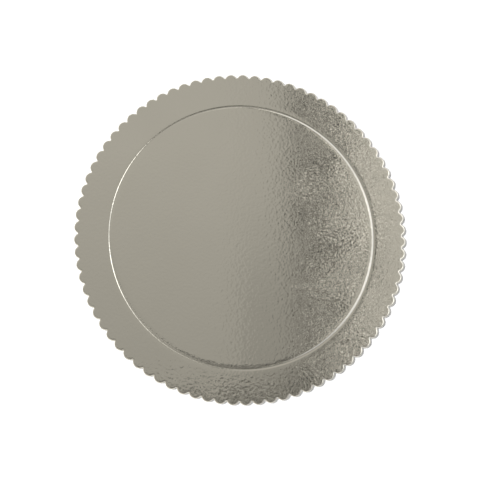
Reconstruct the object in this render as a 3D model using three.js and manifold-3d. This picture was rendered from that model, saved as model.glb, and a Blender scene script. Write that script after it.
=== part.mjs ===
// A round cake board: one disc of solid greyboard with a metallic foil laminated to its upper face.
// A die cuts its scalloped edge and presses the foil over a soft shoulder, and a blunt rule presses
// one shallow ring into the face. Millimetres, +Z up. The board lies flat with its foil face up, and
// the origin is at the centre of its underside.

import * as THREE from "three";
import { mergeVertices } from "three/addons/utils/BufferGeometryUtils.js";
import Module from "manifold-3d";

// Driving dimensions of the board
const boardDiameter = 300;
const boardThickness = 3;

// Driving dimensions of the scalloped edge
const scallopCount = 82;
const scallopDepth = 3.2;
const notchRadius = 0.5;
const shoulderWidth = 2.1;
const shoulderDrop = 1.7;

// Driving dimensions of the pressed ring: a narrow crease at the bottom of a wide, gentle dip. Its
// diameter is measured on the centre line of the crease.
const ringDiameter = 238;
const creaseWidth = 3.2;
const creaseDepth = 0.3;
const dipWidth = 9;
const dipDepth = 0.1;

// Facet counts along each curved form
const facetsPerScallop = 6;
const facetsPerNotch = 3;
const facetsOnShoulder = 4;
const facetsAcrossCrease = 6;
const facetsOnDipSide = 3;
const facetsAroundRing = 123;

// How far each cutting shape reaches past the face that it cuts
const cutterReach = 1;

// Foil colour and gloss, as seen from a step away
const foilColor = 0xa29e91;
const foilRoughness = 0.28;
const foilMetalness = 0.9;

const wasm = await Module();
wasm.setup();

// Turns a closed geometry into a solid that can be cut.
function toSolid(geometry) {
  const bare = geometry.clone();
  bare.deleteAttribute("normal");
  bare.deleteAttribute("uv");
  const merged = mergeVertices(bare);
  const mesh = new wasm.Mesh({
    numProp: 3,
    vertProperties: Float32Array.from(merged.attributes.position.array),
    triVerts: Uint32Array.from(merged.index.array),
  });
  return new wasm.Manifold(mesh);
}

// Turns a cut solid back into a geometry.
function toGeometry(solid) {
  const mesh = solid.getMesh();
  const geometry = new THREE.BufferGeometry();
  geometry.setAttribute("position", new THREE.BufferAttribute(mesh.vertProperties, 3));
  geometry.setIndex(new THREE.BufferAttribute(mesh.triVerts, 1));
  geometry.computeVertexNormals();
  return geometry;
}

// Works out the arcs of the edge: convex scallops whose tips touch the board's outer circle, joined
// at the foot of each notch by a small hollow arc that is tangent to both of its neighbours.
function scallopArcs() {
  const tipRadius = boardDiameter / 2;
  const pitch = (2 * Math.PI) / scallopCount;
  const notchCentre = tipRadius - scallopDepth + notchRadius;
  const alongPitch = notchCentre * Math.cos(pitch / 2);
  const acrossPitch = notchCentre * Math.sin(pitch / 2);
  const reach = notchCentre ** 2 + tipRadius ** 2 - notchRadius ** 2 - 2 * tipRadius * alongPitch;
  const scallopRadius = reach / (2 * (tipRadius + notchRadius - alongPitch));
  const scallopCentre = tipRadius - scallopRadius;
  const halfTurn = Math.atan2(acrossPitch, alongPitch - scallopCentre);
  return { pitch, notchCentre, scallopRadius, scallopCentre, halfTurn };
}

// Gives the points along an arc whose centre lies at a distance and an angle from the board's centre.
function arcPoints(distance, angle, radius, start, end, facets) {
  const x = distance * Math.cos(angle);
  const y = distance * Math.sin(angle);
  const clockwise = end < start;
  return new THREE.EllipseCurve(x, y, radius, radius, start, end, clockwise).getPoints(facets);
}

// Draws the whole edge, one notch and one scallop at a time, with a notch on the +X axis.
function edgeOutline() {
  const { pitch, notchCentre, scallopRadius, scallopCentre, halfTurn } = scallopArcs();
  const points = [];
  for (let i = 0; i < scallopCount; i += 1) {
    const notch = i * pitch;
    const tip = notch + pitch / 2;
    const hollow = halfTurn - pitch / 2;
    const hollowStart = notch + Math.PI + hollow;
    const hollowEnd = notch + Math.PI - hollow;
    const foot = arcPoints(notchCentre, notch, notchRadius, hollowStart, hollowEnd, facetsPerNotch);
    const round = arcPoints(scallopCentre, tip, scallopRadius, tip - halfTurn, tip + halfTurn, facetsPerScallop);
    points.push(...foot.slice(1, -1), ...round);
  }
  return new THREE.Shape(points);
}

// The die-cut board: an upright side, and a quarter-round shoulder up to the foil face. It starts
// below the underside, where the trim cuts it flat and crisp.
function dieCutBlank() {
  const blank = new THREE.ExtrudeGeometry(edgeOutline(), {
    depth: boardThickness - shoulderDrop + cutterReach,
    bevelEnabled: true,
    bevelThickness: shoulderDrop,
    bevelSize: shoulderWidth,
    bevelOffset: -shoulderWidth,
    bevelSegments: facetsOnShoulder,
  });
  blank.translate(0, 0, -cutterReach);
  return blank;
}

// Everything below the underside.
function undersideTrim() {
  const height = 2 * (cutterReach + shoulderDrop);
  const trim = new THREE.CylinderGeometry(boardDiameter, boardDiameter, height, facetsAroundRing);
  trim.rotateX(Math.PI / 2);
  trim.translate(0, 0, -height / 2);
  return trim;
}

// Gives how deep a round-bottomed valley is at some offset from its centre line.
function valleyDepth(offset, width, depth) {
  if (Math.abs(offset) >= width / 2) {
    return 0;
  }
  return (depth * (1 + Math.cos((2 * Math.PI * offset) / width))) / 2;
}

// Gives evenly spaced offsets from a start towards an end, without the end itself.
function offsets(start, end, count) {
  return Array.from({ length: count }, (_, i) => start + ((end - start) * i) / count);
}

// The pressed ring: the crease lies in the middle of the dip, and the dip's lips run smoothly into
// the foil face.
function ringCutter() {
  const dipReach = dipWidth / 2;
  const creaseReach = creaseWidth / 2;
  const across = [
    ...offsets(-dipReach, -creaseReach, facetsOnDipSide),
    ...offsets(-creaseReach, creaseReach, facetsAcrossCrease),
    ...offsets(creaseReach, dipReach, facetsOnDipSide),
    dipReach,
  ];
  const radius = ringDiameter / 2;
  const profile = across.map((offset) => {
    const sink = valleyDepth(offset, dipWidth, dipDepth) + valleyDepth(offset, creaseWidth, creaseDepth);
    return new THREE.Vector2(radius + offset, boardThickness - sink);
  });
  profile.push(new THREE.Vector2(radius + dipReach, boardThickness + cutterReach));
  profile.push(new THREE.Vector2(radius - dipReach, boardThickness + cutterReach));
  profile.push(profile[0].clone());
  const cutter = new THREE.LatheGeometry(profile, facetsAroundRing);
  cutter.rotateX(Math.PI / 2);
  return cutter;
}

// The finished board.
function cakeBoard() {
  const board = toSolid(dieCutBlank()).subtract(toSolid(undersideTrim())).subtract(toSolid(ringCutter()));
  const foil = new THREE.MeshStandardMaterial({
    color: foilColor,
    roughness: foilRoughness,
    metalness: foilMetalness,
  });
  const mesh = new THREE.Mesh(toGeometry(board), foil);
  mesh.name = "cake_board";
  return mesh;
}

const model = new THREE.Group();
model.add(cakeBoard());

export default model;
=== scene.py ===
"""A round foil-faced cake board with a scalloped edge and a pressed ring, lit as a plain studio still."""

import math

import bpy
from mathutils import Matrix, Vector


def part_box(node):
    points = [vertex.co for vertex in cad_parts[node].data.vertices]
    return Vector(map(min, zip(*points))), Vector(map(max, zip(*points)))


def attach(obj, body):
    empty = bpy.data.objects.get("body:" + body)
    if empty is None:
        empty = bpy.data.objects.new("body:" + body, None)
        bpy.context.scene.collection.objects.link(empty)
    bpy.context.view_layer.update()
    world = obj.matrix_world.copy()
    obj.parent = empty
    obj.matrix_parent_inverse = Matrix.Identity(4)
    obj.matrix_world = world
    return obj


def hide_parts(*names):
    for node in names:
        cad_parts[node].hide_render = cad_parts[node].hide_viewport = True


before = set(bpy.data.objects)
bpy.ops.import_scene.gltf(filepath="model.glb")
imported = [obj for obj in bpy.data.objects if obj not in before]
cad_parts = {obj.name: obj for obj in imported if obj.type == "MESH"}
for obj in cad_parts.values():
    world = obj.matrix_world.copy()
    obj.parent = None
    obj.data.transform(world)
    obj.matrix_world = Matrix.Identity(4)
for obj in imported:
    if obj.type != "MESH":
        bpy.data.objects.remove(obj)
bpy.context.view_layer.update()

NODE = "cake_board"
BODY = "root"
MM = 0.001

# Sizes of the board. The box gives the overall ones, and the others are those of the CAD solid, apart
# from the last two. The shoulder is a little fuller than the quarter ellipse that 2 would give, and the
# sharp edge at the foot of the cut side is broken.
LOW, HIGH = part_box(NODE)
TIP_RADIUS = (HIGH.y - LOW.y) / 2
SCALLOP_COUNT = 82
SCALLOP_DEPTH = 3.2 * MM
NOTCH_RADIUS = 0.5 * MM
SHOULDER_WIDTH = 2.1 * MM
SHOULDER_DROP = 1.7 * MM
RING_RADIUS = 119 * MM
CREASE_WIDTH = 3.2 * MM
CREASE_DEPTH = 0.3 * MM
DIP_WIDTH = 9 * MM
DIP_DEPTH = 0.1 * MM
SHOULDER_FULLNESS = 2.6
EDGE_BREAK = 0.12 * MM

# Fineness of the mesh. The flat faces are made of round rings, from a small cap in the middle out to a
# margin inside the scallop tips. Next to a curved form, one more ring keeps the flat face flat.
STEPS_PER_NOTCH = 5
STEPS_PER_SCALLOP = 12
STEPS_ON_SHOULDER = 12
STEPS_ACROSS_CREASE = 14
STEPS_ON_DIP_SIDE = 7
FACE_STEP = 11 * MM
UNDERSIDE_STEP = 44 * MM
BRIM_MARGIN = 6.5 * MM
FLAT_MARGIN = 0.12 * MM
CAP_RADIUS = 4 * MM

# Camera: where it stands over the board, in metres and degrees, and the pixels of the photograph in
# which the middle of the foil face lies
PHOTO_SIZE = 480
SENSOR = 36
PIXELS_PER_METRE = 1114.5
CAMERA_DISTANCE = 0.6256
CAMERA_LEAN = 10.62
CAMERA_AZIMUTH = 231.0
CENTRE_X = 244.6
CENTRE_Y = 234.5
CLIP_START = 0.01

# Range that most heights of a noise pattern fall in
NOISE_RANGE = (0.3, 0.7)

# Foil: two close colours in patches, and the relief of the fibres and knots under it. A dimple's bottom
# and rim are shares of its cell, and only cells above the limit have one.
FOIL_COLORS = ((0.560, 0.528, 0.440), (0.588, 0.555, 0.464))
FOIL_ROUGHNESS = (0.03, 0.05)
FOIL_PATCHES = {"scale": 22, "detail": 3}
FOIL_GRAIN = {"scale": 900, "detail": 2}
RIPPLES = {"scale": 28, "detail": 1}
RIPPLE_HEIGHT = 0.03 * MM
PEBBLES = {"scale": 440, "detail": 0.4, "distortion": 0.3}
PEBBLE_HEIGHT = 0.052 * MM
DIMPLE_SCALE = 95
DIMPLE_HEIGHT = 0.03 * MM
DIMPLE_BOTTOM = 0.02
DIMPLE_RIM = 0.14
DIMPLE_LIMIT = 0.72

# Greyboard at the cut side: flat layers, with a paper liner at its foot and one at its top
BOARD_COLORS = ((0.34, 0.30, 0.25), (0.50, 0.46, 0.40))
BOARD_ROUGHNESS = (0.78, 0.95)
BOARD_LAYERS = {"scale": 420, "detail": 4, "roughness": 0.6}
BOARD_LAYER_HEIGHT = 0.12 * MM
BOARD_LAYER_FLATNESS = 9.0
BOARD_FIBRES = {"scale": 1600, "detail": 3}
BOARD_FIBRE_HEIGHT = 0.05 * MM
LINER_COLOR = (0.74, 0.72, 0.68)
LOW_LINER_EDGE = (LOW.z + 0.25 * MM, LOW.z + 0.32 * MM)
HIGH_LINER_EDGE = (HIGH.z - SHOULDER_DROP - 0.2 * MM, HIGH.z - SHOULDER_DROP)

# Backing paper of the underside: fine fibres and faint clouds, and the range that their sum falls in
PAPER_COLORS = ((0.62, 0.60, 0.56), (0.70, 0.68, 0.64))
PAPER_ROUGHNESS = (0.8, 0.92)
PAPER_FIBRES = {"scale": 1400, "detail": 4, "distortion": 1.2}
PAPER_FIBRE_HEIGHT = 0.03 * MM
PAPER_CLOUDS = {"scale": 60, "detail": 5, "roughness": 0.65}
PAPER_CLOUD_SHARE = 0.7
PAPER_SUM_RANGE = (0.5, 1.2)

# Room that the foil mirrors: its tones, and the shares by which parts of it are dimmed or lifted
OVERHEAD_TONE = 0.69
SOUTH_TONE = 0.54
PAST_SOUTH_SHADE = 0.44
LEANING_SHADE = 0.17
LEANING_NORTH_SHARE = 0.25
CORNER_SHADE = 0.25
GAP_SHADE = 0.43
NORTH_SHARE = 0.955
FAR_NORTH_SHARE = 1.55
EAST_SHARE = 1.20
EAST_GLOW_TONE = 0.35
WALL_TONE = 0.56
FAR_WALL_SHARE = 0.35
PANE_TONE = 1.35
WEST_GLOW_TONE = 0.15
SOUTH_GLOW_TONE = 0.6
LOW_EAST_SHARE = 0.55
LOW_NORTH_SHARE = 0.65
HORIZON_TONE = 0.6
DARKEST_TONE = 0.03
LAMPLIGHT = (1.0, 1.0, 1.0)
DAYLIGHT = (0.965, 1.0, 1.09)

# Where the parts of the room lie, in degrees east or north of straight up. Two angles are the start and
# end of a change, and four are the start and end of a rise and of the fall that follows it.
OVERHEAD_EDGE = (-2, 20)
PAST_SOUTH_EDGE = (-6.7, -2.7)
PAST_SOUTH_SIDE = (-16, 0)
LEANING_SPAN = (5.5, 7.2, 8.6, 11.2)
LEANING_FADE = (1, 12)
CORNER_SPAN = (11, 12.5, 14.5, 16.5)
CORNER_NORTH_SPAN = (14, 16, 17.5, 19.5)
GAP_SPAN = (8.8, 11.8, 13.2, 16.2)
NORTH_EDGE = (15, 20)
FAR_NORTH_EDGE = (44, 56)
EAST_EDGE = (13.6, 17.1)
EAST_GLOW_EDGE = (18.5, 28)
WALL_EDGE = (21, 27)
WALL_NORTH_FADE = (18, 40)
WALL_SOUTH_FADE = (-24, -8)
PANE_SPAN = (21, 25, 30, 35)
SOUTH_PANE_SPAN = (-14, -9, 3, 6)
NORTH_PANE_SPAN = (10, 13, 17, 21)
WEST_GLOW_EDGE = (-60, -46)
SOUTH_GLOW_EDGE = (-56, -44)
LOW_EAST_EDGE = (42, 57)
LOW_NORTH_EDGE = (62, 74)
DAYLIGHT_EDGE = (20, 30)

# Heights of a direction between which the tone of the horizon fades
HORIZON_FADE = (0.05, 0.4)

# Clutter in the room: fine streaks in a strip of the east and, more faintly, in the south
CLUTTER = {"scale": 2.3, "detail": 1}
CLUTTER_RANGE = (0.43, 0.57)
CLUTTER_TONE = 0.66
STREAK_SHARE = 0.4
STRIP_SPAN = (10.6, 12.2, 16.4, 20.0)
SOUTH_CLUTTER_EDGE = (-4.4, -2.8)
SOUTH_CLUTTER_SHARE = 0.45

# Soft lights on dull surfaces, with the lean from straight up, the azimuth and the spread in degrees
KEY_LIGHT = {"lean": 40, "azimuth": 163, "spread": 16, "level": 0.85}
FILL_LIGHT = {"lean": 4, "azimuth": 230, "spread": 120, "level": 0.28}

# Floor, in metres. The lift is the glow that clears it to white for the camera and for reflections.
FLOOR_RADIUS = 12.0
FLOOR_CORNERS = 96
FLOOR_GAP = 0.1 * MM
FLOOR_COLOR = (0.90, 0.90, 0.90)
FLOOR_ROUGHNESS = 0.9
FLOOR_LIFT = 0.14


# The outline of the board

def scallop_arcs():
    """Returns the radii, centre distances and half turn of the arcs that make the edge."""
    pitch = 2 * math.pi / SCALLOP_COUNT
    notch_centre = TIP_RADIUS - SCALLOP_DEPTH + NOTCH_RADIUS
    along = notch_centre * math.cos(pitch / 2)
    across = notch_centre * math.sin(pitch / 2)
    reach = notch_centre ** 2 + TIP_RADIUS ** 2 - NOTCH_RADIUS ** 2 - 2 * TIP_RADIUS * along
    scallop_radius = reach / (2 * (TIP_RADIUS + NOTCH_RADIUS - along))
    scallop_centre = TIP_RADIUS - scallop_radius
    half_turn = math.atan2(across, along - scallop_centre)
    return pitch, notch_centre, scallop_radius, scallop_centre, half_turn


def arc(distance, angle, radius, start, end, steps):
    """Returns the points along an arc, without its last one."""
    x = distance * math.cos(angle)
    y = distance * math.sin(angle)
    turns = [start + (end - start) * i / steps for i in range(steps)]
    return [Vector((x + radius * math.cos(t), y + radius * math.sin(t), 0)) for t in turns]


def edge_ring(inset, z):
    """Returns the scalloped outline, moved inwards by an inset, at one height."""
    pitch, notch_centre, scallop_radius, scallop_centre, half_turn = scallop_arcs()
    hollow = half_turn - pitch / 2
    points = []
    for i in range(SCALLOP_COUNT):
        notch = i * pitch
        tip = notch + pitch / 2
        back = notch + math.pi
        foot = (back + hollow, back - hollow, STEPS_PER_NOTCH)
        crown = (tip - half_turn, tip + half_turn, STEPS_PER_SCALLOP)
        points += arc(notch_centre, notch, NOTCH_RADIUS + inset, *foot)
        points += arc(scallop_centre, tip, scallop_radius - inset, *crown)
    for point in points:
        point.z = z
    return points


def round_ring(radius, z, directions):
    """Returns a circle whose points lie in the same directions as those of the outline."""
    return [Vector((radius * d.x, radius * d.y, z)) for d in directions]


# The board as one closed mesh

def spaced(start, end, step):
    """Returns evenly spaced values from start to end, no further apart than a step, without the start."""
    count = max(1, math.ceil(abs(end - start) / step))
    return [start + (end - start) * (i + 1) / count for i in range(count)]


def valley_depth(offset, width, depth):
    """Returns how deep a round-bottomed valley is at some offset from its centre line."""
    if abs(offset) >= width / 2:
        return 0.0
    return depth * (1 + math.cos(2 * math.pi * offset / width)) / 2


def board_rings():
    """Returns the rings from the middle of the underside out to the edge and back over the foil face."""
    directions = [p.normalized() for p in edge_ring(0, 0)]
    bottom = LOW.z
    top = HIGH.z
    brim = TIP_RADIUS - BRIM_MARGIN
    rings = []

    def add(band, points):
        rings.append((band, points))

    for radius in [CAP_RADIUS] + spaced(CAP_RADIUS, brim, UNDERSIDE_STEP):
        add("paper", round_ring(radius, bottom, directions))
    add("paper", edge_ring(EDGE_BREAK, bottom))
    add("side", edge_ring(0, bottom + EDGE_BREAK))
    add("side", edge_ring(0, (bottom + top - SHOULDER_DROP) / 2))
    for i in range(STEPS_ON_SHOULDER + 1):
        turn = (math.pi / 2) * i / STEPS_ON_SHOULDER
        inset = SHOULDER_WIDTH * (1 - math.cos(turn) ** (2 / SHOULDER_FULLNESS))
        height = top - SHOULDER_DROP * (1 - math.sin(turn) ** (2 / SHOULDER_FULLNESS))
        add("side" if i == 0 else "foil", edge_ring(inset, height))
    add("foil", edge_ring(SHOULDER_WIDTH + FLAT_MARGIN, top))
    outer_lip = DIP_WIDTH / 2
    crease_lip = CREASE_WIDTH / 2
    dip_step = (outer_lip - crease_lip) / STEPS_ON_DIP_SIDE
    for radius in [brim] + spaced(brim, RING_RADIUS + outer_lip + FLAT_MARGIN, FACE_STEP):
        add("foil", round_ring(radius, top, directions))
    across = [outer_lip] + spaced(outer_lip, crease_lip, dip_step)
    across += spaced(crease_lip, -crease_lip, CREASE_WIDTH / STEPS_ACROSS_CREASE)
    across += spaced(-crease_lip, -outer_lip, dip_step)
    for offset in across:
        sink = valley_depth(offset, DIP_WIDTH, DIP_DEPTH) + valley_depth(offset, CREASE_WIDTH, CREASE_DEPTH)
        add("foil", round_ring(RING_RADIUS + offset, top - sink, directions))
    inner = RING_RADIUS - outer_lip - FLAT_MARGIN
    for radius in [inner] + spaced(inner, CAP_RADIUS, FACE_STEP):
        add("foil", round_ring(radius, top, directions))
    return rings


def board_mesh(materials):
    """Joins the rings into one closed mesh, with one material for each kind of surface."""
    rings = board_rings()
    count = len(rings[0][1])
    points = [p for _, ring in rings for p in ring]
    faces = [list(reversed(range(count)))]
    bands = ["paper"]
    for k in range(len(rings) - 1):
        low = k * count
        high = low + count
        for i in range(count):
            j = (i + 1) % count
            faces.append((low + i, low + j, high + j, high + i))
            bands.append(rings[k + 1][0])
    last = (len(rings) - 1) * count
    faces.append(list(range(last, last + count)))
    bands.append("foil")
    mesh = bpy.data.meshes.new("foil_cake_board")
    mesh.from_pydata([tuple(p) for p in points], [], faces)
    names = list(materials)
    for name in names:
        mesh.materials.append(materials[name])
    for polygon, band in zip(mesh.polygons, bands):
        polygon.material_index = names.index(band)
        polygon.use_smooth = True
    mark_sharp_edges(mesh, rings, count)
    mesh.update()
    return mesh


def mark_sharp_edges(mesh, rings, count):
    """Marks both rings of the broken edge at the foot of the side, so that the cut stays crisp."""
    first_side = next(k for k, (band, _) in enumerate(rings) if band == "side")
    sharp = set(range((first_side - 1) * count, (first_side + 1) * count))
    for edge in mesh.edges:
        a, b = edge.vertices
        if a in sharp and b in sharp and abs(a - b) != count:
            edge.use_edge_sharp = True


# Node helpers

def node(tree, kind, **settings):
    """Adds a shader node and sets its properties."""
    made = tree.nodes.new(kind)
    for name, value in settings.items():
        setattr(made, name, value)
    return made


def feed(tree, socket, value):
    """Links an output to a socket, or sets the socket's own value."""
    if isinstance(value, bpy.types.NodeSocket):
        tree.links.new(value, socket)
    else:
        socket.default_value = value


def maths(tree, operation, first, second=0.0):
    """Adds one step of arithmetic and returns its result."""
    made = node(tree, "ShaderNodeMath", operation=operation)
    feed(tree, made.inputs[0], first)
    feed(tree, made.inputs[1], second)
    return made.outputs[0]


def blend_range(tree, value, start, end, low, high, shape="SMOOTHSTEP"):
    """Goes from low to high while the value goes from start to end."""
    made = node(tree, "ShaderNodeMapRange", interpolation_type=shape, clamp=True)
    feed(tree, made.inputs["Value"], value)
    feed(tree, made.inputs["From Min"], start)
    feed(tree, made.inputs["From Max"], end)
    feed(tree, made.inputs["To Min"], low)
    feed(tree, made.inputs["To Max"], high)
    return made.outputs["Result"]


def noise(tree, place, scale, detail=2.0, roughness=0.5, distortion=0.0):
    """Adds a noise pattern and returns its height."""
    made = node(tree, "ShaderNodeTexNoise")
    feed(tree, made.inputs["Vector"], place)
    feed(tree, made.inputs["Scale"], scale)
    feed(tree, made.inputs["Detail"], detail)
    feed(tree, made.inputs["Roughness"], roughness)
    feed(tree, made.inputs["Distortion"], distortion)
    return made.outputs["Fac"]


def rgba(color):
    """Gives three numbers an alpha of 1, and passes on the output of another mix as it is."""
    return color if isinstance(color, bpy.types.NodeSocket) else (*color, 1.0)


def mix_rgba(tree, share, first, second):
    """Mixes two colours of which each is three numbers or the output of another mix."""
    made = node(tree, "ShaderNodeMixRGB")
    feed(tree, made.inputs[0], share)
    feed(tree, made.inputs[1], rgba(first))
    feed(tree, made.inputs[2], rgba(second))
    return made.outputs[0]


def bump(tree, height, distance, below=None):
    """Adds relief of a given height in metres, on top of the relief below it."""
    made = node(tree, "ShaderNodeBump")
    feed(tree, made.inputs["Strength"], 1.0)
    feed(tree, made.inputs["Distance"], distance)
    feed(tree, made.inputs["Height"], height)
    if below is not None:
        feed(tree, made.inputs["Normal"], below)
    return made.outputs["Normal"]


def new_material(name):
    """Starts a material and returns it with its tree, its shader and the object's own coordinates."""
    material = bpy.data.materials.new(name)
    material.use_nodes = True
    tree = material.node_tree
    shader = tree.nodes["Principled BSDF"]
    place = node(tree, "ShaderNodeTexCoord").outputs["Object"]
    return material, tree, shader, place


# Materials

def foil_material():
    """Glossy metallic foil over greyboard, whose fibres show through as a faint pebbled relief."""
    material, tree, shader, place = new_material("silver_foil")
    patches = noise(tree, place, **FOIL_PATCHES)
    feed(tree, shader.inputs["Base Color"], mix_rgba(tree, patches, *FOIL_COLORS))
    feed(tree, shader.inputs["Metallic"], 1.0)
    grain = noise(tree, place, **FOIL_GRAIN)
    feed(tree, shader.inputs["Roughness"], blend_range(tree, grain, *NOISE_RANGE, *FOIL_ROUGHNESS))
    relief = bump(tree, noise(tree, place, **RIPPLES), RIPPLE_HEIGHT)
    relief = bump(tree, noise(tree, place, **PEBBLES), PEBBLE_HEIGHT, relief)
    relief = bump(tree, dimples(tree, place), DIMPLE_HEIGHT, relief)
    feed(tree, shader.inputs["Normal"], relief)
    return material


def dimples(tree, place):
    """Small round dents, far apart, where a fibre knot or a grain lies under the foil."""
    cells = node(tree, "ShaderNodeTexVoronoi", feature="F1")
    feed(tree, cells.inputs["Vector"], place)
    feed(tree, cells.inputs["Scale"], DIMPLE_SCALE)
    dent = blend_range(tree, cells.outputs["Distance"], DIMPLE_BOTTOM, DIMPLE_RIM, 0.0, 1.0)
    chosen = maths(tree, "GREATER_THAN", cells.outputs["Color"], DIMPLE_LIMIT)
    plain = maths(tree, "SUBTRACT", 1.0, chosen)
    return maths(tree, "MAXIMUM", dent, plain)


def cut_board_material():
    """The cut side: thin pressed layers of grey fibre between two paper liners."""
    material, tree, shader, place = new_material("cut_greyboard")
    flattened = node(tree, "ShaderNodeMapping")
    feed(tree, flattened.inputs["Vector"], place)
    feed(tree, flattened.inputs["Scale"], (1.0, 1.0, BOARD_LAYER_FLATNESS))
    layers = noise(tree, flattened.outputs["Vector"], **BOARD_LAYERS)
    fibres = noise(tree, place, **BOARD_FIBRES)
    color = mix_rgba(tree, blend_range(tree, layers, *NOISE_RANGE, 0.0, 1.0), *BOARD_COLORS)
    split = node(tree, "ShaderNodeSeparateXYZ")
    feed(tree, split.inputs[0], place)
    z = split.outputs["Z"]
    low_liner = blend_range(tree, z, *LOW_LINER_EDGE, 1.0, 0.0)
    high_liner = blend_range(tree, z, *HIGH_LINER_EDGE, 0.0, 1.0)
    liner = maths(tree, "ADD", low_liner, high_liner)
    feed(tree, shader.inputs["Base Color"], mix_rgba(tree, liner, color, LINER_COLOR))
    feed(tree, shader.inputs["Roughness"], blend_range(tree, fibres, *NOISE_RANGE, *BOARD_ROUGHNESS))
    relief = bump(tree, layers, BOARD_LAYER_HEIGHT)
    feed(tree, shader.inputs["Normal"], bump(tree, fibres, BOARD_FIBRE_HEIGHT, relief))
    return material


def paper_material():
    """The plain backing paper of the underside, with fine fibre and faint cloudiness."""
    material, tree, shader, place = new_material("backing_paper")
    clouds = maths(tree, "MULTIPLY", noise(tree, place, **PAPER_CLOUDS), PAPER_CLOUD_SHARE)
    fibres = noise(tree, place, **PAPER_FIBRES)
    share = blend_range(tree, maths(tree, "ADD", clouds, fibres), *PAPER_SUM_RANGE, 0.0, 1.0)
    feed(tree, shader.inputs["Base Color"], mix_rgba(tree, share, *PAPER_COLORS))
    feed(tree, shader.inputs["Roughness"], blend_range(tree, fibres, *NOISE_RANGE, *PAPER_ROUGHNESS))
    feed(tree, shader.inputs["Normal"], bump(tree, fibres, PAPER_FIBRE_HEIGHT))
    return material


def floor_material():
    """Pale paper that takes the board's shadow and clears to white away from it."""
    material, tree, shader, _ = new_material("pale_floor")
    feed(tree, shader.inputs["Base Color"], (*FLOOR_COLOR, 1.0))
    feed(tree, shader.inputs["Roughness"], FLOOR_ROUGHNESS)
    feed(tree, shader.inputs["Specular IOR Level"], 0.0)
    rays = node(tree, "ShaderNodeLightPath")
    seen = maths(tree, "MAXIMUM", rays.outputs["Is Camera Ray"], rays.outputs["Is Glossy Ray"])
    seen = maths(tree, "MAXIMUM", seen, rays.outputs["Is Transmission Ray"])
    feed(tree, shader.inputs["Emission Color"], (1.0, 1.0, 1.0, 1.0))
    feed(tree, shader.inputs["Emission Strength"], maths(tree, "MULTIPLY", seen, FLOOR_LIFT))
    return material


# Surroundings

def between(tree, value, start, full, fading, end):
    """Rises from 0 to 1 between start and full, and falls back to 0 between fading and end."""
    rise = blend_range(tree, value, start, full, 0.0, 1.0)
    fall = blend_range(tree, value, fading, end, 1.0, 0.0)
    return maths(tree, "MULTIPLY", rise, fall)


def scaled(tree, tone, value, edge, before, after):
    """Multiplies a tone by one share before an edge and by another after it."""
    return maths(tree, "MULTIPLY", tone, blend_range(tree, value, *edge, before, after))


def dimmed(tree, tone, depth, *spans):
    """Darkens a tone by a share, where every span is at its full value."""
    for span in spans:
        depth = maths(tree, "MULTIPLY", depth, span)
    return maths(tree, "MULTIPLY", tone, maths(tree, "SUBTRACT", 1.0, depth))


def ceiling_tone(tree, east, north):
    """Works out the ceiling: grey, darker towards the south and past its edge there, and lighter in the
    east and far north. A dark gap runs north to south, with a faint shade that leans along its west
    side and one at a corner in the north-east."""
    tone = blend_range(tree, north, *OVERHEAD_EDGE, SOUTH_TONE, OVERHEAD_TONE, "LINEAR")
    past_south = blend_range(tree, north, *PAST_SOUTH_EDGE, 1.0, 0.0)
    past_south_side = blend_range(tree, east, *PAST_SOUTH_SIDE, 0.0, 1.0)
    tone = dimmed(tree, tone, PAST_SOUTH_SHADE, past_south, past_south_side)
    leaning = blend_range(tree, north, *LEANING_FADE, 1.0, LEANING_NORTH_SHARE)
    tone = dimmed(tree, tone, LEANING_SHADE, between(tree, east, *LEANING_SPAN), leaning)
    corner = between(tree, north, *CORNER_NORTH_SPAN)
    tone = dimmed(tree, tone, CORNER_SHADE, between(tree, east, *CORNER_SPAN), corner)
    tone = scaled(tree, tone, north, FAR_NORTH_EDGE, 1.0, FAR_NORTH_SHARE)
    tone = scaled(tree, tone, north, NORTH_EDGE, 1.0, NORTH_SHARE)
    tone = dimmed(tree, tone, GAP_SHADE, between(tree, east, *GAP_SPAN))
    return scaled(tree, tone, east, EAST_EDGE, 1.0, EAST_SHARE)


def streaks(tree, across, along):
    """Gives light and dark streaks around 0, narrow across and long along."""
    place = node(tree, "ShaderNodeCombineXYZ")
    feed(tree, place.inputs[0], across)
    feed(tree, place.inputs[1], maths(tree, "MULTIPLY", along, STREAK_SHARE))
    grain = noise(tree, place.outputs[0], **CLUTTER)
    return blend_range(tree, grain, *CLUTTER_RANGE, -CLUTTER_TONE, CLUTTER_TONE, "LINEAR")


def clutter(tree, east, north):
    """Works out the fine detail of the room that shows as grain in the pebbled foil: upright streaks in
    a strip of the east, and level ones in the south away from that strip."""
    strip = between(tree, east, *STRIP_SPAN)
    away = maths(tree, "SUBTRACT", SOUTH_CLUTTER_SHARE, strip)
    south = maths(tree, "MULTIPLY", blend_range(tree, north, *SOUTH_CLUTTER_EDGE, 1.0, 0.0), away)
    south = maths(tree, "MAXIMUM", south, 0.0)
    upright = maths(tree, "MULTIPLY", strip, streaks(tree, east, north))
    level = maths(tree, "MULTIPLY", south, streaks(tree, north, east))
    return maths(tree, "ADD", upright, level)


def window_tone(tree, east, north):
    """Works out the two window panes in the east wall."""
    south_pane = between(tree, north, *SOUTH_PANE_SPAN)
    north_pane = between(tree, north, *NORTH_PANE_SPAN)
    panes = maths(tree, "ADD", south_pane, north_pane)
    panes = maths(tree, "MULTIPLY", panes, between(tree, east, *PANE_SPAN))
    return maths(tree, "MULTIPLY", panes, PANE_TONE)


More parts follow.
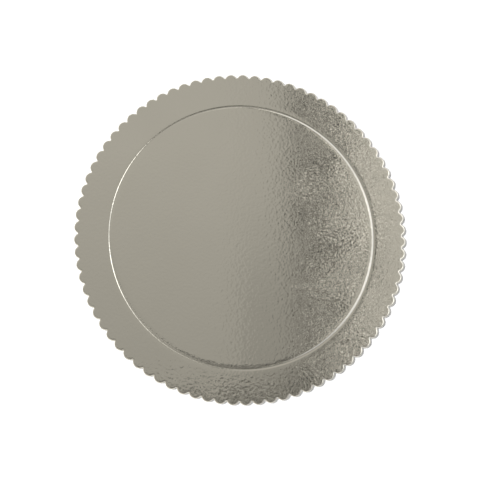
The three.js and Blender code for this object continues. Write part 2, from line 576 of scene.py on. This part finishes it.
def studio_tone(tree, direction):
    """Works out how bright the foil sees the room in each direction, and the share of daylight in it.
    The room has a grey ceiling with some clutter, an east wall with two window panes, and pale low
    parts in the west and south. It is dimmer low in the east and north, and pale at the horizon."""
    split = node(tree, "ShaderNodeSeparateXYZ")
    feed(tree, split.inputs[0], direction)
    x, y, z = split.outputs
    east = maths(tree, "DEGREES", maths(tree, "ARCTAN2", x, z))
    north = maths(tree, "DEGREES", maths(tree, "ARCTAN2", y, z))
    tone = maths(tree, "ADD", ceiling_tone(tree, east, north), clutter(tree, east, north))
    tone = maths(tree, "MAXIMUM", tone, DARKEST_TONE)
    glow = blend_range(tree, east, *EAST_GLOW_EDGE, 0.0, EAST_GLOW_TONE)
    wall = blend_range(tree, east, *WALL_EDGE, 0.0, WALL_TONE)
    wall = scaled(tree, wall, north, WALL_NORTH_FADE, 1.0, FAR_WALL_SHARE)
    wall = scaled(tree, wall, north, WALL_SOUTH_FADE, FAR_WALL_SHARE, 1.0)
    low_west = blend_range(tree, east, *WEST_GLOW_EDGE, WEST_GLOW_TONE, 0.0)
    low_south = blend_range(tree, north, *SOUTH_GLOW_EDGE, SOUTH_GLOW_TONE, 0.0)
    low = maths(tree, "MAXIMUM", low_west, low_south)
    for light in (glow, wall, window_tone(tree, east, north), low):
        tone = maths(tree, "ADD", tone, light)
    tone = scaled(tree, tone, east, LOW_EAST_EDGE, 1.0, LOW_EAST_SHARE)
    tone = scaled(tree, tone, north, LOW_NORTH_EDGE, 1.0, LOW_NORTH_SHARE)
    tone = maths(tree, "MAXIMUM", tone, blend_range(tree, z, *HORIZON_FADE, HORIZON_TONE, 0.0))
    return tone, blend_range(tree, east, *DAYLIGHT_EDGE, 0.0, 1.0)


def build_world():
    """Surrounds the foil with the room, while the camera itself sees plain white behind the board."""
    world = bpy.data.worlds.new("studio")
    bpy.context.scene.world = world
    world.use_nodes = True
    world.cycles_visibility.diffuse = False
    tree = world.node_tree
    background = tree.nodes["Background"]
    direction = node(tree, "ShaderNodeTexCoord").outputs["Generated"]
    rays = node(tree, "ShaderNodeLightPath")
    seen = node(tree, "ShaderNodeMix", data_type="FLOAT")
    feed(tree, seen.inputs[0], rays.outputs["Is Camera Ray"])
    tone, daylight = studio_tone(tree, direction)
    feed(tree, seen.inputs[2], tone)
    feed(tree, seen.inputs[3], 1.0)
    unseen = maths(tree, "SUBTRACT", 1.0, rays.outputs["Is Camera Ray"])
    daylight = maths(tree, "MULTIPLY", daylight, unseen)
    feed(tree, background.inputs["Color"], mix_rgba(tree, daylight, LAMPLIGHT, DAYLIGHT))
    feed(tree, background.inputs["Strength"], seen.outputs[0])


def build_sun(name, lean, azimuth, spread, level):
    """Adds a soft light on dull surfaces, whose level alone would show a flat white sheet as that grey."""
    data = bpy.data.lights.new(name, "SUN")
    data.angle = math.radians(spread)
    data.energy = level * math.pi / math.cos(math.radians(lean))
    sun = bpy.data.objects.new(name, data)
    sun.rotation_euler = (0, math.radians(lean), math.radians(azimuth))
    sun.visible_glossy = False
    bpy.context.scene.collection.objects.link(sun)


def build_floor():
    """Lays a wide round floor just under the board."""
    bpy.ops.mesh.primitive_circle_add(vertices=FLOOR_CORNERS, radius=FLOOR_RADIUS, fill_type="NGON")
    floor = bpy.context.object
    floor.name = "pale_floor"
    floor.location.z = LOW.z - FLOOR_GAP
    floor.data.materials.append(floor_material())


def build_camera():
    """Places the camera over the board, leaning as in the photograph, and frames it by lens and shift."""
    lean = math.radians(CAMERA_LEAN)
    azimuth = math.radians(CAMERA_AZIMUTH)
    towards = Vector((math.cos(azimuth), math.sin(azimuth), 0))
    aside = Vector((-math.sin(azimuth), math.cos(azimuth), 0))
    back = towards * math.sin(lean) + Vector((0, 0, math.cos(lean)))
    tilted = towards * math.cos(lean) - Vector((0, 0, math.sin(lean)))
    right = tilted * math.cos(azimuth) - aside * math.sin(azimuth)
    up = tilted * math.sin(azimuth) + aside * math.cos(azimuth)
    centre = Vector((0, 0, HIGH.z))
    data = bpy.data.cameras.new("camera")
    data.sensor_width = SENSOR
    data.lens = SENSOR * PIXELS_PER_METRE * CAMERA_DISTANCE / PHOTO_SIZE
    data.shift_x = (PHOTO_SIZE / 2 - CENTRE_X) / PHOTO_SIZE
    data.shift_y = (CENTRE_Y - PHOTO_SIZE / 2) / PHOTO_SIZE
    data.clip_start = CLIP_START
    camera = bpy.data.objects.new("camera", data)
    bpy.context.scene.collection.objects.link(camera)
    turn = Matrix((right, up, back)).transposed().to_4x4()
    camera.matrix_world = Matrix.Translation(centre + back * CAMERA_DISTANCE) @ turn
    bpy.context.scene.camera = camera


def build_board():
    """Dresses the board and puts it in the place of the CAD solid."""
    materials = {"foil": foil_material(), "side": cut_board_material(), "paper": paper_material()}
    board = bpy.data.objects.new("foil_cake_board", board_mesh(materials))
    bpy.context.scene.collection.objects.link(board)
    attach(board, BODY)
    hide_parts(NODE)


bpy.context.scene.view_settings.view_transform = "Standard"
build_camera()
build_world()
build_sun("key_light", **KEY_LIGHT)
build_sun("fill_light", **FILL_LIGHT)
build_floor()
build_board()
